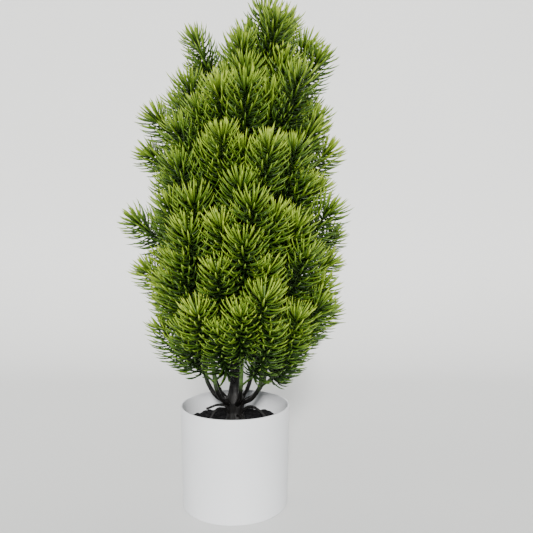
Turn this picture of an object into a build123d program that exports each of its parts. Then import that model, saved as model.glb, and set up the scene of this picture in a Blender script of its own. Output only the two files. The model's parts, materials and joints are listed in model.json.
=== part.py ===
from build123d import *
import os
from math import cos, radians, sin, tan

# An artificial tabletop tree in a plain round pot. Millimetres, +Z up, and the front of the tree
# faces -Y. The origin is the centre of the pot's flat base, on the surface that the pot stands on.
# A place on the tree is given as a reach from the pot's axis, an azimuth and a height. Azimuths are
# in degrees, from +X towards +Y, so that 270 is the front.

# ---- Driving dimensions -------------------------------------------------------------------------

POT_HEIGHT = 100.0
POT_RIM_RADIUS = 55.0
POT_BASE_RADIUS = 53.0
POT_WALL = 1.8
POT_FLOOR = 3.0
POT_BASE_EDGE = 1.2
POT_RIM_EDGE = 0.8

BALLAST_TOP = 28.0
FOAM_TOP = 71.0
SOIL_EDGE_HEIGHT = 80.5
SOIL_CENTRE_HEIGHT = 82.5

FIT = 0.05  # clearance all round between pieces that are pushed together
JOINT_CLEARANCE = 0.3  # clearance all round a foot ball in its recess
CUT_PAST = 1.0  # how far a cut runs past the face that it opens

TRUNK_FOOT = 18.0
TRUNK_TOP = 300.0
TRUNK_FOOT_RADIUS = 5.4
TRUNK_TOP_RADIUS = 4.0
TRUNK_WIRE_RADIUS = 1.5
TRUNK_WIRE_FOOT = 22.0
TRUNK_WIRE_TOP = 275.0
LEADER_RADIUS = 3.0
LEADER_SPIGOT_RADIUS = 2.2
LEADER_SPIGOT_LENGTH = 14.0
LEADER_SPIGOT_ROOT = 6.0  # how far the spigot runs up inside the leader

HINGE_REACH = 9.5
HINGE_HEIGHT = 102.0
FOOT_BALL_RADIUS = 2.6
STEM_RADIUS = 1.75
STEM_WIRE_RADIUS = 0.6
ROOT_RADIUS = 1.2
ROOT_HOLE_IN_CROWN = 9.0
ROOT_HOLE_IN_SOIL = 12.0
CROWN_SEAT_RADIUS = 12.0  # the shallow seat for the crown in the soil
CROWN_SEAT_HEIGHT = 78.8

PEG_RADIUS = 1.0
PEG_GRIP = 5.0  # how far a peg goes into the socket of its sprig
SPRIG_LENGTH = 60.0
NECK_LENGTH = 10.0
NECK_RADIUS = 1.7
TWIG_RADIUS = 1.1
WHORL_RADIUS = 5.2
WHORL_RISE = 4.6
WHORL_THICKNESS = 4.0
WHORL_EDGE = 0.5
WHORL_COUNT = 5
BUD_RADIUS = 3.4
BUD_LENGTH = 12.0
BUD_END_RADIUS = 0.5

# The root crown's outline, from the soil up to where it meets the trunk, as (radius, height).
CROWN_OUTLINE = [
    (12.0, 79.0), (9.6, 85.0), (8.6, 92.0), (9.4, 98.0),
    (9.8, 102.0), (8.4, 107.0), (6.6, 112.0), (5.9, 117.0),
]

# The aerial roots, each as the places that it passes, in X, Y and Z.
ROOTS = {
    "aerial_root_left": [(-6.5, -3.5, 97.5), (-13, -7, 101), (-20, -10, 101), (-28, -13, 98)],
    "aerial_root_left_arch": [
        (-5.5, -5.5, 91.5), (-11, -11, 97), (-18, -17, 97), (-23, -21, 88), (-24, -22, 77),
    ],
    "aerial_root_right_arch": [(6.5, -4.5, 92), (14, -9, 99), (23, -14, 97), (31, -18, 89), (34, -19, 77)],
    "aerial_root_front": [(2.5, -7, 89), (5, -13, 93), (9, -19, 89), (10, -22, 77)],
    "aerial_root_rear": [(-2, 7, 90), (-5, 14, 96), (-8, 22, 92), (-9, 26, 77)],
}
SOIL_ROOTS = ["aerial_root_left_arch", "aerial_root_right_arch", "aerial_root_front", "aerial_root_rear"]

# Every side stem has an azimuth and a line of (reach, height) from its hinge to its free end.
# Every sprig is (height of its peg's root on the stem, reach, azimuth and height of its tip).
STEMS = {
    "right": {
        "azimuth": 10,
        "line": [(20, 107), (30, 121), (36, 170), (45, 240), (47, 320), (44, 404)],
        "sprigs": [
            (404, 78, 8, 464), (390, 92, 355, 443), (330, 90, 354, 386), (308, 99, 3, 355),
            (268, 92, 353, 316), (226, 110, 13, 266), (196, 100, 357, 242), (172, 97, 351, 216),
            (152, 98, 358, 190), (135, 88, 4, 169), (117, 88, 22, 146), (275, 96, 24, 322),
            (165, 94, 24, 206), (350, 92, 24, 402),
        ],
    },
    "right_rear": {
        "azimuth": 55,
        "line": [(19, 108), (28, 122), (35, 175), (43, 245), (42, 330), (34, 432)],
        "sprigs": [
            (432, 74, 38, 492), (408, 62, 68, 472), (385, 90, 50, 432), (350, 88, 68, 396),
            (318, 100, 42, 360), (282, 96, 60, 326), (248, 108, 45, 288), (228, 102, 68, 270),
            (195, 102, 52, 238), (166, 96, 40, 206), (152, 94, 66, 194), (130, 86, 53, 164),
        ],
    },
    "rear": {
        "azimuth": 100,
        "line": [(20, 108), (29, 123), (36, 178), (43, 250), (39, 320), (28, 398)],
        "sprigs": [
            (398, 58, 96, 456), (372, 82, 106, 418), (326, 90, 90, 374), (302, 93, 107, 355),
            (280, 98, 97, 322), (246, 106, 110, 286), (230, 102, 87, 270), (190, 98, 102, 236),
            (166, 92, 114, 206), (152, 96, 90, 190), (128, 90, 101, 162),
        ],
    },
    "left_rear": {
        "azimuth": 145,
        "line": [(19, 108), (28, 123), (35, 178), (42, 245), (37, 325), (20, 420)],
        "sprigs": [
            (420, 51, 160, 476), (392, 62, 138, 446), (362, 80, 152, 408), (334, 86, 134, 380),
            (302, 90, 154, 346), (272, 96, 138, 318), (242, 104, 151, 284), (224, 98, 130, 262),
            (190, 98, 145, 235), (160, 90, 157, 204), (150, 90, 133, 192), (130, 84, 145, 164),
        ],
    },
    "left": {
        "azimuth": 185,
        "line": [(20, 108), (29, 123), (35, 178), (42, 245), (36, 305), (27, 352)],
        "sprigs": [
            (352, 51, 198, 421), (342, 86, 188, 384), (318, 94, 177, 350), (262, 77, 195, 322),
            (246, 106, 180, 284), (196, 78, 200, 250), (190, 96, 178, 236), (150, 76, 197, 208),
            (131, 86, 187, 172),
        ],
    },
    "front_left": {
        "azimuth": 230,
        "line": [(19, 107), (28, 121), (35, 180), (42, 245), (37, 300), (31, 330)],
        "sprigs": [
            (326, 62, 238, 390), (312, 72, 216, 370), (268, 80, 226, 336), (232, 85, 220, 299),
            (240, 86, 247, 299), (210, 94, 244, 270), (164, 80, 212, 230), (180, 84, 231, 246),
            (142, 88, 250, 198), (126, 84, 228, 174),
        ],
    },
    "front_right": {
        "azimuth": 285,
        "line": [(19, 108), (27, 122), (36, 178), (42, 250), (38, 310), (28, 366)],
        "sprigs": [
            (364, 48, 290, 428), (340, 72, 284, 404), (262, 94, 296, 348), (280, 70, 279, 350),
            (250, 88, 276, 314), (236, 104, 283, 290), (222, 92, 301, 284), (204, 102, 278, 254),
            (172, 88, 298, 236), (158, 102, 290, 208), (140, 92, 275, 194), (124, 92, 299, 168),
        ],
    },
    "right_front": {
        "azimuth": 328,
        "line": [(20, 107), (30, 120), (37, 175), (44, 245), (43, 315), (38, 376)],
        "sprigs": [
            (374, 62, 332, 440), (350, 90, 323, 410), (282, 90, 314, 346), (258, 86, 330, 320),
            (236, 104, 341, 292), (218, 92, 313, 276), (188, 100, 319, 246), (146, 98, 337, 202),
            (134, 92, 316, 188), (120, 88, 328, 160), (312, 86, 339, 372),
        ],
    },
}

# The leader leans over to the right as it rises, through these places in X, Y and Z.
LEADER_LINE = [(0, 0, TRUNK_TOP), (0, 0, 330), (11, 0, 384), (27, 0, 432)]

# Sprigs on the trunk and leader, as (height of the peg's root, tip's X, Y and Z).
TRUNK_SPRIGS = {
    "sprigs_front": [
        (318, -12, -62, 402), (262, -10, -82, 354), (196, -6, -92, 270), (158, -13, -92, 230),
        (120, -12, -84, 166),
    ],
    "sprigs_leader": [
        (432, 32, 0, 500), (414, 60, 24, 490), (384, -4, 16, 462), (386, 8, -36, 456),
        (402, 50, -32, 474), (404, 12, 34, 480), (322, 26, 14, 396), (324, -16, 26, 396),
        (326, -28, -12, 398), (324, 20, -25, 396), (352, 6, 34, 426), (350, -12, -22, 426),
        (358, 44, -6, 432),
    ],
}
# Short sprigs close to the trunk, in tiers, as (height of the pegs' roots, azimuths of the tips).
TRUNK_TIERS = {
    "sprigs_first_tier": (124, (32, 122, 207, 307)),
    "sprigs_second_tier": (158, (78, 165, 348)),
    "sprigs_third_tier": (192, (32, 122, 207, 307)),
    "sprigs_fourth_tier": (226, (78, 165, 348)),
    "sprigs_fifth_tier": (260, (32, 122, 207, 307)),
    "sprigs_sixth_tier": (282, (78, 165, 348)),
}
TIER_REACH = 30.0
TIER_RISE = 74.0

# Each side stem also carries inner sprigs that rise close beside it, as (height of the peg's root,
# how far the tip's azimuth is turned from the stem's), as far up as the stem leaves room for them.
# The front right stem has its own on one side only, clear of the sprigs at the front of the trunk.
INNER_SPRIGS = [(160, 24), (222, -24), (284, 24), (338, -24)]
INNER_SPRIGS_FRONT_RIGHT = [(160, 24), (284, 24)]
INNER_REACH = 62.0
INNER_RISE = 66.0
INNER_END_ROOM = 37.0  # at least this much of the stem is left above an inner sprig's peg


# ---- Helpers ------------------------------------------------------------------------------------


HALVINGS = 40  # of the search for a height on a path


def place(reach, azimuth, height):
    return Vector(reach * cos(radians(azimuth)), reach * sin(radians(azimuth)), height)


def smooth_path(points):
    """Straight runs between the points, joined by the largest tangent arcs that fit them."""
    points = [Vector(*point) for point in points]
    radii = []
    for before, corner, after in zip(points, points[1:], points[2:]):
        arriving = corner - before
        leaving = after - corner
        half_turn = radians(arriving.get_angle(leaving)) / 2
        radii.append(0.45 * min(arriving.length, leaving.length) / tan(half_turn))
    return FilletPolyline(*points, radius=radii)


def round_bar(path, radius):
    return sweep(Plane(path @ 0, z_dir=path % 0) * Circle(radius), path)


def straight_bar(start, end, radius):
    direction = end - start
    return Plane(start, z_dir=direction) * Cylinder(
        radius, direction.length, align=(Align.CENTER, Align.CENTER, Align.MIN)
    )


def at_height(path, height):
    """The point at a height on a path that rises all the way."""
    low, high = 0.0, 1.0
    for _ in range(HALVINGS):
        middle = (low + high) / 2
        if (path @ middle).Z < height:
            low = middle
        else:
            high = middle
    return path @ low


def turned(outline):
    """A solid of revolution about Z from its half outline of (radius, height) corners."""
    return revolve(Plane.XZ * make_face(Polyline(*outline, close=True)), Axis.Z)


def pot_inner_radius(height):
    return POT_BASE_RADIUS - POT_WALL + (POT_RIM_RADIUS - POT_BASE_RADIUS) * height / POT_HEIGHT


def fill(bottom, edge_top, centre_top):
    """A plug that fills the pot between two heights."""
    return turned(
        [
            (0, bottom),
            (pot_inner_radius(bottom) - FIT, bottom),
            (pot_inner_radius(edge_top) - FIT, edge_top),
            (0, centre_top),
        ]
    )


def trunk_cone(extra=0.0):
    return turned(
        [
            (0, TRUNK_FOOT - extra),
            (TRUNK_FOOT_RADIUS + extra, TRUNK_FOOT - extra),
            (TRUNK_TOP_RADIUS + extra, TRUNK_TOP),
            (0, TRUNK_TOP),
        ]
    )


# ---- Pot and its filling ------------------------------------------------------------------------


def make_pot():
    wall = turned(
        [
            (0, 0),
            (POT_BASE_RADIUS, 0),
            (POT_RIM_RADIUS, POT_HEIGHT),
            (POT_RIM_RADIUS - POT_WALL, POT_HEIGHT),
            (pot_inner_radius(POT_FLOOR), POT_FLOOR),
            (0, POT_FLOOR),
        ]
    )
    rim = wall.edges().filter_by(GeomType.CIRCLE).group_by(Axis.Z)[-1]
    wall = fillet(rim, POT_RIM_EDGE)
    foot = wall.edges().filter_by(GeomType.CIRCLE).group_by(Axis.Z)[0]
    return fillet(foot, POT_BASE_EDGE)


def make_ballast():
    return fill(POT_FLOOR + FIT, BALLAST_TOP, BALLAST_TOP) - trunk_cone(FIT)


def make_foam():
    return fill(BALLAST_TOP + FIT, FOAM_TOP, FOAM_TOP) - trunk_cone(FIT)


def make_soil(root_paths):
    soil = fill(FOAM_TOP + FIT, SOIL_EDGE_HEIGHT, SOIL_CENTRE_HEIGHT) - trunk_cone(FIT)
    seat = CROWN_SEAT_RADIUS + FIT
    above = SOIL_CENTRE_HEIGHT + CUT_PAST
    soil -= turned([(0, CROWN_SEAT_HEIGHT), (seat, CROWN_SEAT_HEIGHT), (seat, above), (0, above)])
    for name in SOIL_ROOTS:
        end = root_paths[name] @ 1
        inward = root_paths[name] % 1
        soil -= straight_bar(end + inward * FIT, end - inward * ROOT_HOLE_IN_SOIL, ROOT_RADIUS + FIT)
    return soil


# ---- Trunk, leader and roots --------------------------------------------------------------------


def bored_trunk(trunk):
    """The trunk with the bore for its wire from below and the socket for the leader from above."""
    bore_end = Vector(0, 0, TRUNK_WIRE_TOP + FIT)
    trunk -= straight_bar(Vector(0, 0, TRUNK_FOOT - CUT_PAST), bore_end, TRUNK_WIRE_RADIUS + FIT)
    socket_end = Vector(0, 0, TRUNK_TOP - LEADER_SPIGOT_LENGTH - FIT)
    socket_mouth = Vector(0, 0, TRUNK_TOP + CUT_PAST)
    return trunk - straight_bar(socket_end, socket_mouth, LEADER_SPIGOT_RADIUS + FIT)


def make_trunk_wire():
    foot = Vector(0, 0, TRUNK_WIRE_FOOT)
    return straight_bar(foot, Vector(0, 0, TRUNK_WIRE_TOP), TRUNK_WIRE_RADIUS)


def make_leader(path):
    spigot_end = Vector(0, 0, TRUNK_TOP - LEADER_SPIGOT_LENGTH)
    spigot_root = Vector(0, 0, TRUNK_TOP + LEADER_SPIGOT_ROOT)
    return round_bar(path, LEADER_RADIUS) + straight_bar(spigot_end, spigot_root, LEADER_SPIGOT_RADIUS)


def make_crown(root_paths):
    foot = CROWN_OUTLINE[0][1]
    top = CROWN_OUTLINE[-1][1]
    crown = turned([(0, foot), *CROWN_OUTLINE, (0, top)]) - trunk_cone(FIT)
    for stem in STEMS.values():
        hinge = place(HINGE_REACH, stem["azimuth"], HINGE_HEIGHT)
        crown -= Pos(hinge) * Sphere(FOOT_BALL_RADIUS + JOINT_CLEARANCE)
    for path in root_paths.values():
        start = path @ 0
        outward = path % 0
        crown -= straight_bar(start - outward * FIT, start + outward * ROOT_HOLE_IN_CROWN, ROOT_RADIUS + FIT)
    return crown


# ---- Side stems ---------------------------------------------------------------------------------


def stem_path(stem):
    line = [(HINGE_REACH, HINGE_HEIGHT), *stem["line"]]
    return smooth_path([place(reach, stem["azimuth"], height) for reach, height in line])


def make_stem(path, pegs):
    """A stem with its foot ball and pegs, moulded round a wire that ends flush with its free end."""
    stem = round_bar(path, STEM_RADIUS) + Pos(path @ 0) * Sphere(FOOT_BALL_RADIUS)
    for root, end in pegs:
        stem += straight_bar(root, end, PEG_RADIUS)
    return stem - round_bar(path, STEM_WIRE_RADIUS + FIT)


# ---- Sprigs -------------------------------------------------------------------------------------


def make_sprig():
    """One sprig along +Z from the mouth of its socket, with each whorl of needles as a thin cup."""
    outline = [
        (0, PEG_GRIP + 2 * FIT),
        (PEG_RADIUS + FIT, PEG_GRIP + 2 * FIT),
        (PEG_RADIUS + FIT, 0),
        (NECK_RADIUS, 0),
        (NECK_RADIUS, NECK_LENGTH),
    ]
    pitch = (SPRIG_LENGTH - NECK_LENGTH - BUD_LENGTH) / WHORL_COUNT
    for whorl in range(WHORL_COUNT):
        root = NECK_LENGTH + whorl * pitch
        outline += [
            (TWIG_RADIUS, root),
            (WHORL_RADIUS, root + WHORL_RISE),
            (WHORL_RADIUS, root + WHORL_RISE + WHORL_EDGE),
            (TWIG_RADIUS, root + WHORL_THICKNESS),
        ]
    bud = SPRIG_LENGTH - BUD_LENGTH
    outline += [
        (TWIG_RADIUS, bud),
        (BUD_RADIUS, bud + 0.5 * BUD_LENGTH),
        (BUD_END_RADIUS, SPRIG_LENGTH),
        (0, SPRIG_LENGTH),
    ]
    return turned(outline)


def sprig_and_peg(sprig, root, tip):
    """The sprig placed with its end at a tip, and the start and end of the peg that holds it."""
    direction = (tip - root).normalized()
    mouth = tip - direction * SPRIG_LENGTH
    placed = Plane(mouth, z_dir=direction).location * sprig
    return placed, (root, mouth + direction * PEG_GRIP)


def inner_sprigs(name):
    """A stem's inner sprigs, in the form that the stem's other sprigs are given in."""
    azimuth = STEMS[name]["azimuth"]
    highest = STEMS[name]["line"][-1][1] - INNER_END_ROOM
    rows = INNER_SPRIGS_FRONT_RIGHT if name == "front_right" else INNER_SPRIGS
    return [
        (height, INNER_REACH, azimuth + turn, height + INNER_RISE)
        for height, turn in rows
        if height < highest
    ]


def tier_tips(height, azimuths):
    return [(height, *place(TIER_REACH, azimuth, height + TIER_RISE)) for azimuth in azimuths]


# ---- Assembly -----------------------------------------------------------------------------------

sprig = make_sprig()
nodes = {}

root_paths = {name: smooth_path(points) for name, points in ROOTS.items()}
for name, path in root_paths.items():
    nodes[name] = round_bar(path, ROOT_RADIUS)

nodes["pot"] = make_pot()
nodes["ballast_plug"] = make_ballast()
nodes["foam_filler"] = make_foam()
nodes["soil_disc"] = make_soil(root_paths)
nodes["root_crown"] = make_crown(root_paths)
nodes["trunk_wire"] = make_trunk_wire()

trunk = trunk_cone()
leader_path = smooth_path(LEADER_LINE)
leader = make_leader(leader_path)
trunk_groups = dict(TRUNK_SPRIGS)
for name, (height, azimuths) in TRUNK_TIERS.items():
    trunk_groups[name] = tier_tips(height, azimuths)
for name, sprigs in trunk_groups.items():
    placed_sprigs = []
    for height, *tip in sprigs:
        on_leader = height > TRUNK_TOP
        root = at_height(leader_path, height) if on_leader else Vector(0, 0, height)
        placed, peg = sprig_and_peg(sprig, root, Vector(*tip))
        placed_sprigs.append(placed)
        if on_leader:
            leader += straight_bar(*peg, PEG_RADIUS)
        else:
            trunk += straight_bar(*peg, PEG_RADIUS)
    nodes[name] = Compound(children=placed_sprigs)
nodes["trunk"] = bored_trunk(trunk)
nodes["leader"] = leader

for name, stem in STEMS.items():
    path = stem_path(stem)
    placed_sprigs = []
    pegs = []
    for height, *tip in stem["sprigs"] + inner_sprigs(name):
        placed, peg = sprig_and_peg(sprig, at_height(path, height), place(*tip))
        placed_sprigs.append(placed)
        pegs.append(peg)
    nodes[f"stem_{name}"] = make_stem(path, pegs)
    nodes[f"wire_{name}"] = round_bar(path, STEM_WIRE_RADIUS)
    nodes[f"sprigs_{name}"] = Compound(children=placed_sprigs)

os.makedirs("parts", exist_ok=True)
for name, shape in nodes.items():
    export_step(shape, f"parts/{name}.step")
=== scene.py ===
import json
import math
import random

import bmesh
import bpy
import numpy as np
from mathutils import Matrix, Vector, noise


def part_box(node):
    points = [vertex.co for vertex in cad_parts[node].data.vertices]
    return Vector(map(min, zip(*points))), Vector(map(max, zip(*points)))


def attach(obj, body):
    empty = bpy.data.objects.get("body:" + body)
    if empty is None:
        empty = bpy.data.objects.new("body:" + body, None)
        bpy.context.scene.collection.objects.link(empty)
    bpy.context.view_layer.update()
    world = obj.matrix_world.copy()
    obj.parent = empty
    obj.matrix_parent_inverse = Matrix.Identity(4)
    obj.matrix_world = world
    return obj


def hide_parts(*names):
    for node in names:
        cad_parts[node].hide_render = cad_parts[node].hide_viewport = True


# The looks of an artificial tabletop tree. Metres, +Z up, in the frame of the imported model: the
# origin is the centre of the pot's base and the front of the tree faces -Y.

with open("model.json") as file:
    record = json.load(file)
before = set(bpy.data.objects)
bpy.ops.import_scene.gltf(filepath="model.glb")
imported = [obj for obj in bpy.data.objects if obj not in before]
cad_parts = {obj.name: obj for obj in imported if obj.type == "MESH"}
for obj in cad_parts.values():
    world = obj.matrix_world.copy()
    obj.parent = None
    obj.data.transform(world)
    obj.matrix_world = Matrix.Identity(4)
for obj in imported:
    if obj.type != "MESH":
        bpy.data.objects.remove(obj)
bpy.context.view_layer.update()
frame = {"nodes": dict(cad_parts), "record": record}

MM = 0.001
UP = Vector((0, 0, 1))


# ---- Mesh helpers -------------------------------------------------------------------------------


def add_mesh(name, vertices, faces, material, attributes=None):
    """A new smooth mesh object with a material, and with float attributes on its vertices."""
    mesh = bpy.data.meshes.new(name)
    mesh.from_pydata([tuple(v) for v in vertices], [], faces)
    for key, values in (attributes or {}).items():
        mesh.attributes.new(key, "FLOAT", "POINT").data.foreach_set("value", values)
    mesh.polygons.foreach_set("use_smooth", [True] * len(mesh.polygons))
    mesh.materials.append(material)
    mesh.update()
    piece = bpy.data.objects.new(name, mesh)
    bpy.context.scene.collection.objects.link(piece)
    return piece


def settle(piece, body, slot, *replaced):
    """Puts a finished piece on its body and hides the CAD parts that it replaces; what it stands for, the
    slot, is not used.
    """
    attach(piece, body)
    if replaced:
        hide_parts(*replaced)


def side_axes(direction):
    """Two unit vectors square to a direction and to each other, the second as high as it can be."""
    sideways = direction.cross(UP)
    if sideways.length < 1e-4:
        sideways = Vector((1, 0, 0))
    sideways.normalize()
    return sideways, sideways.cross(direction).normalized()


def rounded_line(points, steps=14):
    """Points along a smooth curve that passes through every given point."""
    points = [Vector(p) for p in points]
    padded = [2 * points[0] - points[1], *points, 2 * points[-1] - points[-2]]
    line = []
    for a, b, c, d in zip(padded, padded[1:], padded[2:], padded[3:]):
        for step in range(steps):
            t = step / steps
            doubled = 2 * b + (c - a) * t + (2 * a - 5 * b + 4 * c - d) * t**2
            line.append(0.5 * (doubled + (3 * b - a - 3 * c + d) * t**3))
    line.append(points[-1])
    return line


def skin(line, radius_at, sides, faces, vertices):
    """Adds a closed tube along a line. radius_at takes the share of the length and the angle."""
    first = len(vertices)
    last = len(line) - 1
    sideways = side_axes((line[1] - line[0]).normalized())[0]
    for i, centre in enumerate(line):
        forward = (line[min(i + 1, last)] - line[max(i - 1, 0)]).normalized()
        sideways = (sideways - forward * sideways.dot(forward)).normalized()
        upward = sideways.cross(forward)
        for side in range(sides):
            angle = 2 * math.pi * side / sides
            radius = radius_at(i / last, angle)
            vertices.append(centre + (sideways * math.cos(angle) + upward * math.sin(angle)) * radius)
    for i in range(last):
        for side in range(sides):
            a = first + i * sides + side
            b = first + i * sides + (side + 1) % sides
            faces.append((a, b, b + sides, a + sides))
    faces.append(tuple(reversed(range(first, first + sides))))
    faces.append(tuple(range(first + last * sides, first + (last + 1) * sides)))


def lathe(name, outline, segments, material):
    """A solid of revolution about Z from an open outline that starts and ends on the axis."""
    vertices = [Vector((0, 0, outline[0][1]))]
    for radius, height in outline[1:-1]:
        for step in range(segments):
            angle = 2 * math.pi * step / segments
            vertices.append(Vector((radius * math.cos(angle), radius * math.sin(angle), height)))
    vertices.append(Vector((0, 0, outline[-1][1])))
    faces = []
    rings = len(outline) - 2
    for step in range(segments):
        following = (step + 1) % segments
        faces.append((0, 1 + following, 1 + step))
        for ring in range(rings - 1):
            low = 1 + ring * segments
            high = low + segments
            faces.append((low + step, low + following, high + following, high + step))
        last_ring = 1 + (rings - 1) * segments
        faces.append((last_ring + step, last_ring + following, len(vertices) - 1))
    return add_mesh(name, vertices, faces, material)


# ---- Materials ----------------------------------------------------------------------------------


class Nodes:
    """Short calls for building a node material round one Principled shader."""

    def __init__(self, name, **constants):
        self.material = bpy.data.materials.new(name)
        self.material.use_nodes = True
        self.tree = self.material.node_tree
        self.shader = self.tree.nodes["Principled BSDF"]
        for socket, value in constants.items():
            self.shader.inputs[socket.replace("_", " ")].default_value = value

    def node(self, kind, settings=None, **inputs):
        """A new node. An input is given by its name, or as _0, _1 and so on by its number."""
        made = self.tree.nodes.new(kind)
        for key, value in (settings or {}).items():
            setattr(made, key, value)
        for key, value in inputs.items():
            socket = made.inputs[int(key[1:])] if key[1:].isdigit() else made.inputs[key.replace("_", " ")]
            self.feed(socket, value)
        return made

    def feed(self, socket, value):
        if isinstance(value, bpy.types.NodeSocket):
            self.tree.links.new(value, socket)
        else:
            socket.default_value = value

    def attribute(self, name):
        return self.node("ShaderNodeAttribute", {"attribute_name": name}).outputs["Fac"]

    def position(self):
        return self.node("ShaderNodeTexCoord").outputs["Object"]

    def noise(self, scale, detail=3.0, stretch=(1, 1, 1)):
        mapped = self.node("ShaderNodeMapping", _0=self.position())
        mapped.inputs["Scale"].default_value = stretch
        return self.node("ShaderNodeTexNoise", _0=mapped.outputs[0], Scale=scale, Detail=detail).outputs[0]

    def math(self, operation, first, second):
        return self.node("ShaderNodeMath", {"operation": operation}, _0=first, _1=second).outputs[0]

    def ramp(self, factor, stops):
        made = self.node("ShaderNodeValToRGB", _0=factor)
        elements = made.color_ramp.elements
        while len(elements) < len(stops):
            elements.new(0.5)
        for element, (at, colour) in zip(elements, stops):
            element.position = at
            element.color = (*colour, 1)
        return made.outputs[0]

    def mix(self, factor, first, second):
        """A mix of two colours. The colour form of the node has them in sockets 6 and 7."""
        made = self.node("ShaderNodeMix", {"data_type": "RGBA"})
        self.feed(made.inputs[0], factor)
        self.feed(made.inputs[6], first)
        self.feed(made.inputs[7], second)
        return made.outputs[2]

    def spread(self, value, low, high):
        """Spreads a value of 0 to 1 over low to high."""
        return self.node("ShaderNodeMapRange", Value=value, To_Min=low, To_Max=high).outputs[0]

    def finish(self, colour, roughness, bump=None, bump_depth=0.0, bump_strength=0.0):
        """Connects the colour, the roughness and the bump, and gives the finished material."""
        self.feed(self.shader.inputs["Base Color"], colour)
        self.feed(self.shader.inputs["Roughness"], roughness)
        if bump is not None:
            made = self.node("ShaderNodeBump", Height=bump, Distance=bump_depth, Strength=bump_strength)
            self.tree.links.new(made.outputs[0], self.shader.inputs["Normal"])
        return self.material


def needle_material():
    """Soft needles: darker green low on the sprig and at each needle's root, partly the needles' own colour
    and partly painted shade inside the brush; yellow-green at the tips.
    """
    m = Nodes("needles", Specular_IOR_Level=0.35)
    along = m.attribute("along")
    growth_and_shade = m.attribute("growth_and_shade")
    tint = m.attribute("tint")
    # The tone darkens towards each needle's root and low on the sprig: painted shade where the brush is
    # dense, on top of the needles' own darker bases.
    height = m.math("ADD", m.math("MULTIPLY", along, 0.56), m.math("MULTIPLY", growth_and_shade, 0.40))
    fine = m.math("MULTIPLY", m.math("SUBTRACT", m.noise(900.0, 2.0), 0.5), 0.12)
    varied = m.math("MULTIPLY", m.math("SUBTRACT", tint, 0.5), 0.30)
    tone = m.math("ADD", m.math("ADD", height, fine), varied)
    # The near-black low end of the ramp is painted shade; the yellow-green high end is the tips' own colour.
    colour = m.ramp(
        tone,
        [
            (0.0, (0.003, 0.010, 0.001)),
            (0.36, (0.014, 0.040, 0.004)),
            (0.60, (0.064, 0.135, 0.008)),
            (0.82, (0.210, 0.325, 0.018)),
            (1.0, (0.440, 0.560, 0.055)),
        ],
    )
    roughness = m.spread(m.noise(1400.0, 2.0), 0.34, 0.55)
    return m.finish(colour, roughness, m.noise(2500.0, 2.0), 0.0001, 0.35)


def twig_material():
    """Twigs: dark green with a faint stretched mottle, the same from the socket to the end."""
    m = Nodes("twigs")
    bark = m.noise(700.0, 4.0, (1, 1, 0.3))
    growth_and_shade = m.attribute("growth_and_shade")
    tone = m.math("ADD", m.math("MULTIPLY", growth_and_shade, 0.8), m.math("MULTIPLY", bark, 0.3))
    shades = [(0.0, (0.012, 0.026, 0.005)), (0.5, (0.04, 0.085, 0.01)), (1.0, (0.12, 0.2, 0.02))]
    colour = m.ramp(tone, shades)
    return m.finish(colour, m.spread(bark, 0.4, 0.65), bark, 0.0003, 0.6)


GREEN_FROM = 118 * MM  # the height where the stems start to turn green
GREEN_FULLY = 136 * MM


def stem_material():
    """Moulded stems: glossy black at the foot, turning green where they turn upward."""
    m = Nodes("stems", Specular_IOR_Level=0.35)
    height = m.node("ShaderNodeSeparateXYZ", _0=m.position()).outputs[2]
    mottle = m.math("MULTIPLY", m.math("SUBTRACT", m.noise(160.0, 3.0), 0.5), 0.014)
    lifted = m.math("ADD", height, mottle)
    share = m.node("ShaderNodeMapRange", Value=lifted, From_Min=GREEN_FROM, From_Max=GREEN_FULLY).outputs[0]
    blacks = [(0.3, (0.003, 0.003, 0.003)), (0.8, (0.012, 0.011, 0.010))]
    greens = [(0.25, (0.03, 0.075, 0.008)), (0.8, (0.08, 0.17, 0.02))]
    black = m.ramp(m.noise(420.0, 4.0, (1, 1, 0.2)), blacks)
    green = m.ramp(m.noise(300.0, 3.0, (1, 1, 0.3)), greens)
    roughness = m.spread(m.noise(260.0, 3.0), 0.22, 0.38)
    return m.finish(m.mix(share, black, green), roughness, m.noise(900.0, 3.0), 0.0003, 0.5)


def bark_material():
    """Near-black bark with long upright streaks."""
    m = Nodes("bark", Specular_IOR_Level=0.3)
    streaks = m.noise(520.0, 5.0, (1, 1, 0.12))
    patches = m.noise(90.0, 3.0, (1, 1, 0.5))
    tone = m.math("ADD", m.math("MULTIPLY", streaks, 0.7), m.math("MULTIPLY", patches, 0.3))
    shades = [(0.35, (0.002, 0.002, 0.002)), (0.55, (0.006, 0.0055, 0.005)), (0.78, (0.024, 0.021, 0.019))]
    colour = m.ramp(tone, shades)
    return m.finish(colour, m.spread(streaks, 0.42, 0.7), streaks, 0.0008, 0.8)


def soil_material():
    """Matt black moulded soil with paler grains."""
    m = Nodes("soil", Specular_IOR_Level=0.1)
    grains = m.noise(800.0, 5.0)
    lumps = m.noise(200.0, 3.0)
    shades = [(0.3, (0.002, 0.002, 0.0025)), (0.6, (0.007, 0.007, 0.008)), (0.85, (0.03, 0.03, 0.033))]
    colour = m.ramp(grains, shades)
    return m.finish(colour, m.spread(lumps, 0.75, 0.95), grains, 0.0008, 0.9)


def pot_material():
    """Satin white moulded plastic, with the faintest mottle and orange peel."""
    m = Nodes("pot_plastic", Specular_IOR_Level=0.45, Coat_Weight=0.08, Coat_Roughness=0.3)
    cloud = m.noise(22.0, 4.0)
    speck = m.noise(1500.0, 2.0)
    colour = m.ramp(cloud, [(0.25, (0.760, 0.775, 0.800)), (0.75, (0.800, 0.815, 0.835))])
    return m.finish(colour, m.spread(cloud, 0.36, 0.46), speck, 0.00006, 0.25)


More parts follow.
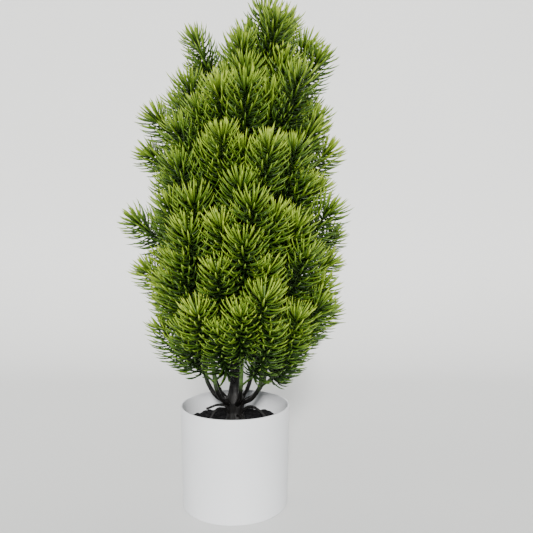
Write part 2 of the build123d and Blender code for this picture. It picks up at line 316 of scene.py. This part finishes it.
def hidden_material(name, dark, light, scale):
    """The finish of a piece that is sealed inside: two shades of one colour."""
    m = Nodes(name)
    grain = m.noise(scale, 4.0)
    colour = m.ramp(grain, [(0.3, dark), (0.7, light)])
    return m.finish(colour, m.spread(grain, 0.5, 0.8), grain, 0.0005, 0.5)


# ---- Sprigs -------------------------------------------------------------------------------------

NEEDLES_PER_ROW = 7
ROW_PITCH = 3.2 * MM
BARE_NECK = 6.0 * MM
TWIG_SHORT = 9.0 * MM  # the needles, not the twig, reach the full length of the sprig
SIDE_LIFT = 4.0 * MM  # how far the end of a level sprig at the sides of the tree curves up
FRONT_LIFT = 18.0 * MM  # and at the front and the back
LEFT_REACH = 2.5 * MM  # added to the twig of a sprig that points straight to the left
RIGHT_REACH = 5.0 * MM  # and to the right, where the tree is fuller
LOW_TOP = 197.0 * MM  # a sprig whose tip is below this height curves up more, the lower the more
LOW_DEPTH = 47.0 * MM  # and this far below it, the lift and the shrinking are complete
LOW_LIFT = 13.0 * MM
LOW_SHRINK = 0.2  # how much shorter the needles of the lowest sprigs are, as a share
SWAY = 3.0 * MM  # the most that a twig's end curves sideways
TWIG_STEPS = 18
TWIG_SIDES = 8
SOCKET_LIP_SHARE = 0.02  # share of the twig's length that is the narrowed lip of its socket
SOCKET_SHARE = 0.12  # share of the twig's length where its socket ends
SOCKET_LIP_RADIUS = 1.5 * MM
SOCKET_RADIUS = 1.95 * MM
TWIG_RADIUS = 1.35 * MM
TWIG_TAPER = 0.75 * MM  # how much thinner the twig gets over its length
TWIG_ALONG, TWIG_GROWTH_AND_SHADE = 0.3, 0.35  # the attributes of a twig, the same all over it
NEEDLE_LENGTH = 28.0 * MM
NEEDLE_WIDTH = 2.4 * MM
NEEDLE_THICKNESS = 0.7  # share of the width
NEEDLE_RINGS = 5
NEEDLE_START = 0.5 * MM  # from the twig's axis, inside the twig
ROOT_ANGLE = 78.0  # degrees between the twig and the root of a needle
TIP_ANGLE = 22.0  # degrees between the twig and the tip of a needle
CLOSING_FROM = 0.55  # share of the twig after which the needles lie closer to it
ROOT_CLOSING = 16.0  # by how many degrees, at the twig's end
TIP_CLOSING = 6.0
TUFT_NEEDLES = 15
TUFT_DEPTH = 2.0 * MM  # how far before the twig's end the end tuft starts
TUFT_START = 0.3 * MM
INNER_FULLNESS = 1.3  # the sprigs next to the trunk are fuller, so that it stays hidden
GOLDEN_ANGLE = math.radians(137.508)
END_FACE = 0.2 * MM  # how far from its end the flat end of a sprig's solid is measured
END_SPAN = 9.0 * MM  # how far from its end its width is measured


def solids_of(node):
    """The separate solids of a CAD node, each as an array of its vertices."""
    mesh = bmesh.new()
    mesh.from_mesh(frame["nodes"][node].data)
    bmesh.ops.remove_doubles(mesh, verts=mesh.verts, dist=1e-6)
    waiting = set(mesh.verts)
    solids = []
    while waiting:
        group = []
        unexplored = [min(waiting, key=lambda v: v.index)]
        waiting.discard(unexplored[0])
        while unexplored:
            vertex = unexplored.pop()
            group.append(tuple(vertex.co))
            for edge in vertex.link_edges:
                other = edge.other_vert(vertex)
                if other in waiting:
                    waiting.discard(other)
                    unexplored.append(other)
        solids.append(np.array(group))
    mesh.free()
    return solids


def ends_of(solid):
    """The socket end and the tip of a sprig's CAD solid. The socket end is the narrower one."""
    centre = solid.mean(0)
    axis = np.linalg.svd(solid - centre, full_matrices=False)[2][0]
    along = (solid - centre) @ axis
    ends = []
    for sign in (1, -1):
        distance = (along * sign).max() - along * sign
        flat = solid[distance < END_FACE].mean(0)
        near = solid[distance < END_SPAN]
        spread = np.linalg.norm(near - flat - np.outer((near - flat) @ axis, axis), axis=1).max()
        ends.append((spread, flat))
    ends.sort(key=lambda end: end[0])
    return Vector(ends[0][1]), Vector(ends[1][1])


class SprigMesh:
    """Gathers the vertices, faces and attributes of one sprig."""

    def __init__(self):
        self.vertices = []
        self.faces = []
        self.along = []
        self.growth_and_shade = []
        self.tint = []

    def mark(self, along, growth_and_shade, tint):
        """Gives the vertices added since the last call these attributes."""
        count = len(self.vertices) - len(self.growth_and_shade)
        self.along += along if isinstance(along, list) else [along] * count
        self.growth_and_shade += [growth_and_shade] * count
        self.tint += [tint] * count

    def needle(self, root, outward, forward, length, open_angle, close_angle, growth_and_shade, tint, width):
        """A flattened needle that leaves the twig at one angle and curves forward to another."""
        rings = NEEDLE_RINGS
        sideways = outward.cross(forward).normalized()
        first = len(self.vertices)
        along = []
        place = root.copy()
        for ring in range(rings):
            share = ring / rings
            angle = open_angle + (close_angle - open_angle) * share
            heading = forward * math.cos(angle) + outward * math.sin(angle)
            flat = heading.cross(sideways)
            half = 0.5 * width * (0.72 + 0.5 * share - 0.85 * share**3)
            thick = half * NEEDLE_THICKNESS
            for side, rise in ((1, 0), (0, 1), (-1, 0), (0, -1)):
                self.vertices.append(place + sideways * half * side + flat * thick * rise)
                along.append(share)
            place = place + heading * (length / rings)
        self.vertices.append(place)
        along.append(1.0)
        for ring in range(rings - 1):
            for side in range(4):
                a = first + ring * 4 + side
                b = first + ring * 4 + (side + 1) % 4
                self.faces.append((a, a + 4, b + 4, b))
        top = first + (rings - 1) * 4
        for side in range(4):
            self.faces.append((top + side, len(self.vertices) - 1, top + (side + 1) % 4))
        self.faces.append((first, first + 1, first + 2, first + 3))
        self.mark(along, growth_and_shade, tint)


def make_sprig(name, socket, tip, chance, fullness, materials):
    """One bottle-brush sprig of curved needles round a twig, from its socket to its tip."""
    forward = (tip - socket).normalized()
    reach = (RIGHT_REACH if forward.x > 0 else LEFT_REACH) * abs(forward.x)
    length = (tip - socket).length - TWIG_SHORT + reach
    sideways, upward = side_axes(forward)
    low = min(max((LOW_TOP - tip.z) / LOW_DEPTH, 0.0), 1.0)
    level_lift = SIDE_LIFT * abs(forward.x) + FRONT_LIFT * abs(forward.y)
    lift = chance.uniform(0.8, 1.2) * level_lift + LOW_LIFT * low
    sway = chance.uniform(-SWAY, SWAY)
    vigour = chance.uniform(0.92, 1.10) * (1.0 - LOW_SHRINK * low)
    sprig_tint = chance.uniform(-0.19, 0.19)

    def spot(share):
        bend = share * share
        return socket + forward * length * share + upward * lift * bend + sideways * sway * bend

    sprig = SprigMesh()

    def twig_radius(share, angle):
        if share < SOCKET_LIP_SHARE:
            return SOCKET_LIP_RADIUS
        if share < SOCKET_SHARE:
            return SOCKET_RADIUS
        return TWIG_RADIUS - TWIG_TAPER * share

    twig_line = [spot(step / TWIG_STEPS) for step in range(TWIG_STEPS + 1)]
    skin(twig_line, twig_radius, TWIG_SIDES, sprig.faces, sprig.vertices)
    sprig.mark(TWIG_ALONG, TWIG_GROWTH_AND_SHADE, 0.5 + sprig_tint)
    twig_faces = len(sprig.faces)

    count = int((length - BARE_NECK) / ROW_PITCH * NEEDLES_PER_ROW)
    turn = chance.uniform(0, 2 * math.pi)
    for k in range(count):
        share = (BARE_NECK + (length - BARE_NECK) * (k + chance.uniform(-0.3, 0.3)) / count) / length
        share = min(max(share, 0.0), 1.0)
        ahead = (spot(min(share + 0.02, 1.02)) - spot(share - 0.02)).normalized()
        across, over = side_axes(ahead)
        angle = turn + k * GOLDEN_ANGLE + chance.uniform(-0.12, 0.12)
        outward = across * math.cos(angle) + over * math.sin(angle)
        closing = max(0.0, (share - CLOSING_FROM) / (1.0 - CLOSING_FROM))
        opened = math.radians(ROOT_ANGLE - ROOT_CLOSING * closing + chance.uniform(-6, 6))
        closed = math.radians(TIP_ANGLE - TIP_CLOSING * closing + chance.uniform(-9, 9))
        size = NEEDLE_LENGTH * vigour * (1.0 - 0.12 * closing) * chance.uniform(0.86, 1.08)
        # The needles near the socket are shorter.
        size *= (0.72 + 0.28 * min(share / 0.25, 1.0)) * fullness
        root = spot(share) + outward * NEEDLE_START
        # How far up the sprig the needle stands; lower needles get a darker tone, partly their own colour
        # and partly painted shade.
        growth_and_shade = share * 0.9 + 0.05
        tint = 0.5 + sprig_tint + chance.uniform(-0.3, 0.3)
        width = NEEDLE_WIDTH * chance.uniform(0.88, 1.1) * fullness
        sprig.needle(root, outward, ahead, size, opened, closed, growth_and_shade, tint, width)

    # The end tuft: its needles open like a brush, more the farther out they are.
    end_heading = (spot(1.0) - spot(0.96)).normalized()
    for k in range(TUFT_NEEDLES):
        angle = turn + k * GOLDEN_ANGLE
        across, over = side_axes(end_heading)
        outward = across * math.cos(angle) + over * math.sin(angle)
        opening = math.sqrt((k + 0.5) / TUFT_NEEDLES)
        opened = math.radians(8 + 52 * opening)
        closed = math.radians(3 + 14 * opening)
        size = NEEDLE_LENGTH * vigour * (0.78 + 0.04 * opening) * chance.uniform(0.9, 1.08)
        root = spot(1.0) - end_heading * TUFT_DEPTH + outward * TUFT_START
        tint = 0.56 + sprig_tint + chance.uniform(-0.2, 0.2)
        sprig.needle(root, outward, end_heading, size, opened, closed, 1.0, tint, NEEDLE_WIDTH)

    attributes = {"along": sprig.along, "growth_and_shade": sprig.growth_and_shade, "tint": sprig.tint}
    piece = add_mesh(name, sprig.vertices, sprig.faces, materials["twigs"], attributes)
    piece.data.materials.append(materials["needles"])
    slots = [0] * twig_faces + [1] * (len(sprig.faces) - twig_faces)
    piece.data.polygons.foreach_set("material_index", slots)
    return piece


def make_foliage(materials):
    """One sprig for each solid of the sprig nodes, on the body of its node."""
    bodies = {node: body for body, nodes in frame["record"]["behaviour"]["bodies"].items() for node in nodes}
    for node in sorted(n for n in frame["nodes"] if n.startswith("sprigs_")):
        ends = sorted((ends_of(solid) for solid in solids_of(node)), key=lambda pair: tuple(pair[1]))
        for number, (socket, tip) in enumerate(ends, 1):
            chance = random.Random(f"{node} {number}")
            name = f"{node.replace('sprigs', 'sprig')}_{number:02d}"
            fullness = INNER_FULLNESS if node.endswith("tier") else 1.0
            piece = make_sprig(name, socket, tip, chance, fullness, materials)
            settle(piece, bodies[node], "foliage", node)


# ---- Pot and soil -------------------------------------------------------------------------------

pot_corner = Vector(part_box("pot")[1])
POT_HEIGHT = pot_corner.z
RIM_RADIUS = pot_corner.x
BASE_RADIUS = RIM_RADIUS - 2.0 * MM
POT_WALL = 1.8 * MM
POT_FLOOR = 3.0 * MM
POT_EDGE = 1.4 * MM  # the radius of the rounding round the pot's foot
POT_SEGMENTS = 192
WALL_SHARES = (0.03, 0.1, 0.2, 0.3, 0.4, 0.5, 0.6, 0.7, 0.8, 0.9, 0.96)  # heights of its rings
SOIL_TOP = Vector(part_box("soil_disc")[1]).z
SOIL_CROWN = 2 * MM  # how much lower the soil is at the pot's wall
SOIL_DEPTH = 9 * MM
SOIL_GAP = 0.3 * MM  # between the soil and the pot's wall
SOIL_RINGS, SOIL_SEGMENTS = 90, 240


def arc(centre, radius, start, end, steps):
    """Points of an arc in the outline's plane, with its angles in degrees."""
    points = []
    for step in range(steps + 1):
        angle = math.radians(start + (end - start) * step / steps)
        points.append((centre[0] + radius * math.cos(angle), centre[1] + radius * math.sin(angle)))
    return points


def make_pot(material):
    """The pot as one turned shell, with a rounded rim and foot."""
    edge = POT_EDGE
    lip = POT_WALL / 2
    outer = [
        (BASE_RADIUS + (RIM_RADIUS - BASE_RADIUS) * share, POT_HEIGHT * share)
        for share in WALL_SHARES
    ]
    inner = [(radius - POT_WALL, height) for radius, height in reversed(outer)]
    outline = [(0, 0), (BASE_RADIUS * 0.5, 0), (BASE_RADIUS - edge * 1.4, 0)]
    outline += arc((BASE_RADIUS - edge, edge), edge, -90, 0, 6)
    outline += outer
    outline += arc((RIM_RADIUS - lip, POT_HEIGHT - lip), lip, 0, 180, 10)
    outline += inner
    outline += [(BASE_RADIUS - POT_WALL, POT_FLOOR), (BASE_RADIUS * 0.5, POT_FLOOR), (0, POT_FLOOR)]
    settle(lathe("pot_shell", outline, POT_SEGMENTS, material), "base", "pot", "pot")


def soil_height(x, y):
    """The clumpy surface of the moulded soil: broad lumps, small lumps and grit."""
    spot = Vector((x, y, 0))
    lumps = noise.voronoi(spot * 150)[0]
    small = noise.voronoi(spot * 330 + Vector((3, 7, 1)))[0]
    swell = noise.noise(spot * 45)
    grit = noise.noise(spot * 900)
    return (swell * 1.2 + (0.55 - lumps[0]) * 2.6 + (0.5 - small[0]) * 1.2 + grit * 0.25) * MM


def make_soil(material):
    """The soil as a closed disc with a clumpy top."""
    rings, segments = SOIL_RINGS, SOIL_SEGMENTS
    edge = RIM_RADIUS - POT_WALL - SOIL_GAP
    vertices = [Vector((0, 0, SOIL_TOP))]
    for ring in range(1, rings + 1):
        radius = edge * ring / rings
        for step in range(segments):
            angle = 2 * math.pi * step / segments
            x, y = radius * math.cos(angle), radius * math.sin(angle)
            height = SOIL_TOP - SOIL_CROWN * (radius / edge) ** 2 + soil_height(x, y)
            vertices.append(Vector((x, y, height)))
    bottom = SOIL_TOP - SOIL_DEPTH
    for step in range(segments):
        angle = 2 * math.pi * step / segments
        vertices.append(Vector((edge * math.cos(angle), edge * math.sin(angle), bottom)))
    faces = []
    for step in range(segments):
        following = (step + 1) % segments
        faces.append((0, 1 + step, 1 + following))
        for ring in range(rings):
            near = 1 + ring * segments
            far = near + segments
            faces.append((near + step, far + step, far + following, near + following))
    faces.append(tuple(reversed(range(1 + rings * segments, 1 + (rings + 1) * segments))))
    settle(add_mesh("soil_surface", vertices, faces, material), "base", "soil", "soil_disc")


# ---- Crown, trunk and roots ---------------------------------------------------------------------

# The aerial roots' routes in millimetres, from the crown outwards, as the CAD roots run.
ROOT_ROUTES = {
    "aerial_root_left": [
        (-4, -2, 95), (-6.5, -3.5, 97.5), (-13, -7, 100.5), (-20, -10, 100.5), (-28, -13, 98),
    ],
    "aerial_root_left_arch": [
        (-3, -3, 88), (-5.5, -5.5, 92), (-11, -11, 97.5), (-18, -17, 98), (-23, -21, 90), (-24, -22, 77),
    ],
    "aerial_root_right_arch": [
        (4, -3, 89), (6.5, -4.5, 92), (14, -9, 99), (23, -14, 98), (31, -18, 90), (34, -19, 77),
    ],
    "aerial_root_front": [(1.5, -4, 87), (2.5, -7, 89), (5, -13, 92.5), (9, -19, 88.5), (10, -22, 77)],
    "aerial_root_rear": [(-1, 4, 87), (-2, 7, 90), (-5, 14, 95.5), (-8, 22, 91.5), (-9, 26, 77)],
}
ROOT_RADIUS, ROOT_TAPER, ROOT_RIDGE = 1.75, 0.75, 0.35  # millimetres


def make_roots(material):
    """The knobbly aerial roots, thinner towards their ends."""
    for name, route in ROOT_ROUTES.items():
        line = rounded_line([Vector(point) * MM for point in route], 16)
        phase = len(name) * 1.7

        def root_radius(share, angle):
            ridge = noise.noise(Vector((math.cos(angle) * 1.5, math.sin(angle) * 1.5, share * 9 + phase)))
            return (ROOT_RADIUS - ROOT_TAPER * share + ROOT_RIDGE * ridge) * MM

        vertices, faces = [], []
        skin(line, root_radius, 16, faces, vertices)
        settle(add_mesh(name + "_bark", vertices, faces, material), "base", "bark", name)


# The lower part of each side stem in millimetres, as its azimuth and its line of (reach, height).
STEM_LINES = {
    "right": (10, [(9.5, 102), (20, 107), (30, 121), (36, 170), (45, 240)]),
    "right_rear": (55, [(9.5, 102), (19, 108), (28, 122), (35, 175), (43, 245)]),
    "rear": (100, [(9.5, 102), (20, 108), (29, 123), (36, 178), (43, 250)]),
    "left_rear": (145, [(9.5, 102), (19, 108), (28, 123), (35, 178), (42, 245)]),
    "left": (185, [(9.5, 102), (20, 108), (29, 123), (35, 178), (42, 245)]),
    "front_left": (230, [(9.5, 102), (19, 107), (28, 121), (35, 180), (42, 245)]),
    "front_right": (285, [(9.5, 102), (19, 108), (27, 122), (36, 178), (42, 250)]),
    "right_front": (328, [(9.5, 102), (20, 107), (30, 120), (37, 175), (44, 245)]),
}
CORNER_SHARE = 0.45  # of the shorter run beside a corner, where its bend starts and ends
STEM_RADIUS, STEM_TAPER, STEM_KNOB = 2.3, 0.35, 0.28  # millimetres


def bent_line(points, steps=10):
    """Straight runs with a rounded bend at each corner, as a stem runs."""
    line = [points[0]]
    for before, corner, after in zip(points, points[1:], points[2:]):
        reach = CORNER_SHARE * min((corner - before).length, (after - corner).length)
        start = corner + (before - corner).normalized() * reach
        end = corner + (after - corner).normalized() * reach
        for step in range(steps + 1):
            t = step / steps
            line.append((1 - t) ** 2 * start + 2 * t * (1 - t) * corner + t * t * end)
    line.append(points[-1])
    return line


def make_stem_bark(material):
    """A thin knobbly skin over the lower part of each side stem, on the stem's own body."""
    for name, (azimuth, profile) in STEM_LINES.items():
        turn = math.radians(azimuth)
        points = [
            Vector((reach * math.cos(turn), reach * math.sin(turn), height)) * MM
            for reach, height in profile
        ]

        def stem_radius(share, angle):
            knob = noise.noise(Vector((math.cos(angle), math.sin(angle), share * 18 + azimuth)))
            return (STEM_RADIUS - STEM_TAPER * share + STEM_KNOB * knob) * MM

        vertices, faces = [], []
        skin(bent_line(points), stem_radius, 14, faces, vertices)
        settle(add_mesh(f"stem_{name}_bark", vertices, faces, material), f"arm_{name}", "stem")


def bark_ridge(angle, height):
    """Upright folds of bark, as a share of their depth."""
    spot = Vector((math.cos(angle) * 2.2, math.sin(angle) * 2.2, height * 22))
    fine = Vector((math.cos(angle) * 6.5, math.sin(angle) * 6.5, height * 60))
    return noise.noise(spot) + 0.5 * noise.noise(fine)


# The root crown's outline in millimetres, as (height, radius), between the soil and the trunk.
CROWN_OUTLINE = [
    (77.0, 13.2),
    (80.0, 12.0),
    (85.0, 9.7),
    (92.0, 8.7),
    (98.0, 9.3),
    (102.0, 9.6),
    (107.0, 8.3),
    (112.0, 6.9),
    (119.0, 6.0),
]
CROWN_FOLDS = 1.1 * MM
CROWN_FLARE = 22  # millimetres above its foot over which the folds get shallower


def make_crown(material):
    """The root crown as a bundle of roots that have grown together, with deep folds between them."""
    heights, radii = zip(*CROWN_OUTLINE)
    rings, segments = 90, 96
    rise = heights[-1] - heights[0]
    line = [Vector((0, 0, heights[0] + rise * ring / rings)) * MM for ring in range(rings + 1)]

    def crown_radius(share, angle):
        height = heights[0] + rise * share
        low = max(0.0, 1 - (height - heights[0]) / CROWN_FLARE)
        lobes = abs(math.sin(2.5 * angle + 0.06 * height)) - 0.6
        fold = bark_ridge(angle, height * MM)
        folds = (lobes * (0.5 + low) + 0.45 * fold - 0.35) * CROWN_FOLDS
        return float(np.interp(height, heights, radii)) * MM + folds

    vertices, faces = [], []
    skin(line, crown_radius, segments, faces, vertices)
    settle(add_mesh("root_crown_bark", vertices, faces, material), "base", "bark", "root_crown")


TRUNK_BARK_FOOT, TRUNK_BARK_TOP = 105 * MM, 250 * MM
TRUNK_BARK_RADIUS = 5.45 * MM
TRUNK_BARK_TAPER = 0.9 * MM
TRUNK_BARK_FOLDS = 0.42 * MM


def make_trunk_bark(material):
    """A skin of bark round the trunk, from inside the crown to well inside the foliage."""
    rings, segments = 170, 64
    rise = TRUNK_BARK_TOP - TRUNK_BARK_FOOT
    line = [Vector((0, 0, TRUNK_BARK_FOOT + rise * ring / rings)) for ring in range(rings + 1)]

    def bark_radius(share, angle):
        height = TRUNK_BARK_FOOT + rise * share
        return TRUNK_BARK_RADIUS - TRUNK_BARK_TAPER * share + bark_ridge(angle, height) * TRUNK_BARK_FOLDS

    vertices, faces = [], []
    skin(line, bark_radius, segments, faces, vertices)
    settle(add_mesh("trunk_bark", vertices, faces, material), "base", "bark")


# ---- Light, camera and floor --------------------------------------------------------------------

CAMERA_PLACE = Vector((31.8, -545, 257)) * MM
CAMERA_DOWN = math.radians(1.86)
CAMERA_LENS = 36.47
CAMERA_SENSOR = 36.0
WORLD_COLOUR = (0.93, 0.96, 1.0, 1)
WORLD_STRENGTH = 0.3
KEY_STRENGTH = 5.6
KEY_SOFTNESS = math.radians(9)
KEY_COLOUR = (1.0, 0.99, 0.97)
KEY_FROM = (0.0, -1.0, 0.46)  # the direction that the key light comes from
TOP_POWER = 3.0
TOP_PLACE = (0.0, -0.1, 1.4)
TOP_TARGET = (0.0, 0.0, 0.3)
TOP_SIZE = 0.8


def add_camera():
    """The camera at the front, level with the middle of the tree and looking slightly down."""
    camera = bpy.data.cameras.new("camera")
    camera.lens = CAMERA_LENS
    camera.sensor_width = CAMERA_SENSOR
    camera.clip_start = 0.01
    placed = bpy.data.objects.new("camera", camera)
    placed.location = CAMERA_PLACE
    placed.rotation_euler = (math.radians(90) - CAMERA_DOWN, 0, 0)
    bpy.context.scene.collection.objects.link(placed)
    bpy.context.scene.camera = placed


def add_top_light():
    light = bpy.data.lights.new("top", "AREA")
    light.shape = "DISK"
    light.size = TOP_SIZE
    light.energy = TOP_POWER
    placed = bpy.data.objects.new("top", light)
    placed.location = TOP_PLACE
    placed.rotation_euler = (Vector(TOP_TARGET) - Vector(TOP_PLACE)).to_track_quat("-Z", "Y").to_euler()
    bpy.context.scene.collection.objects.link(placed)


def add_studio():
    """Soft light from all round, a soft key light from the front and a weak light above."""
    world = bpy.data.worlds.new("studio")
    world.use_nodes = True
    world.node_tree.nodes["Background"].inputs[0].default_value = WORLD_COLOUR
    world.node_tree.nodes["Background"].inputs[1].default_value = WORLD_STRENGTH
    bpy.context.scene.world = world
    key = bpy.data.lights.new("key", "SUN")
    key.energy = KEY_STRENGTH
    key.angle = KEY_SOFTNESS
    key.color = KEY_COLOUR
    placed = bpy.data.objects.new("key", key)
    placed.rotation_euler = (-Vector(KEY_FROM)).to_track_quat("-Z", "Y").to_euler()
    bpy.context.scene.collection.objects.link(placed)
    add_top_light()


def add_floor(material):
    """A pale floor that curves up into a backdrop behind the tree."""
    back, radius, top, half = 0.85, 0.35, 2.6, 3.0
    profile = [(-half, 0.0), (back - radius, 0.0)]
    profile += [
        (back - radius + radius * math.sin(turn), radius - radius * math.cos(turn))
        for turn in np.linspace(0, math.pi / 2, 16)
    ]
    profile.append((back, top))
    vertices, faces = [], []
    for y, z in profile:
        vertices += [Vector((-half, y, z)), Vector((half, y, z))]
    for i in range(len(profile) - 1):
        faces.append((2 * i, 2 * i + 1, 2 * i + 3, 2 * i + 2))
    add_mesh("floor", vertices, faces, material)


def floor_material():
    """A matt pale floor, with hardly visible clouds of tone."""
    m = Nodes("floor")
    cloud = m.noise(1.5, 2.0)
    colour = m.ramp(cloud, [(0.3, (0.74, 0.745, 0.735)), (0.7, (0.78, 0.785, 0.775))])
    return m.finish(colour, m.spread(cloud, 0.6, 0.7))


# ---- Assembly -----------------------------------------------------------------------------------

add_camera()
add_studio()
add_floor(floor_material())

bark = bark_material()
stems = stem_material()
wire = hidden_material("wire", (0.35, 0.35, 0.36), (0.6, 0.6, 0.6), 300.0)
cement = hidden_material("cement", (0.35, 0.34, 0.32), (0.6, 0.58, 0.55), 200.0)
foam = hidden_material("foam", (0.08, 0.16, 0.09), (0.14, 0.26, 0.15), 500.0)
plain_materials = {"trunk": bark, "leader": bark, "ballast_plug": cement, "foam_filler": foam}
for name, node in frame["nodes"].items():
    if name in plain_materials:
        node.material_slots[0].material = plain_materials[name]
    elif name.startswith("stem_"):
        node.material_slots[0].material = stems
    elif "wire" in name:
        node.material_slots[0].material = wire

make_pot(pot_material())
make_soil(soil_material())
make_roots(bark)
make_crown(bark)
make_trunk_bark(bark)
make_stem_bark(stems)
make_foliage({"needles": needle_material(), "twigs": twig_material()})
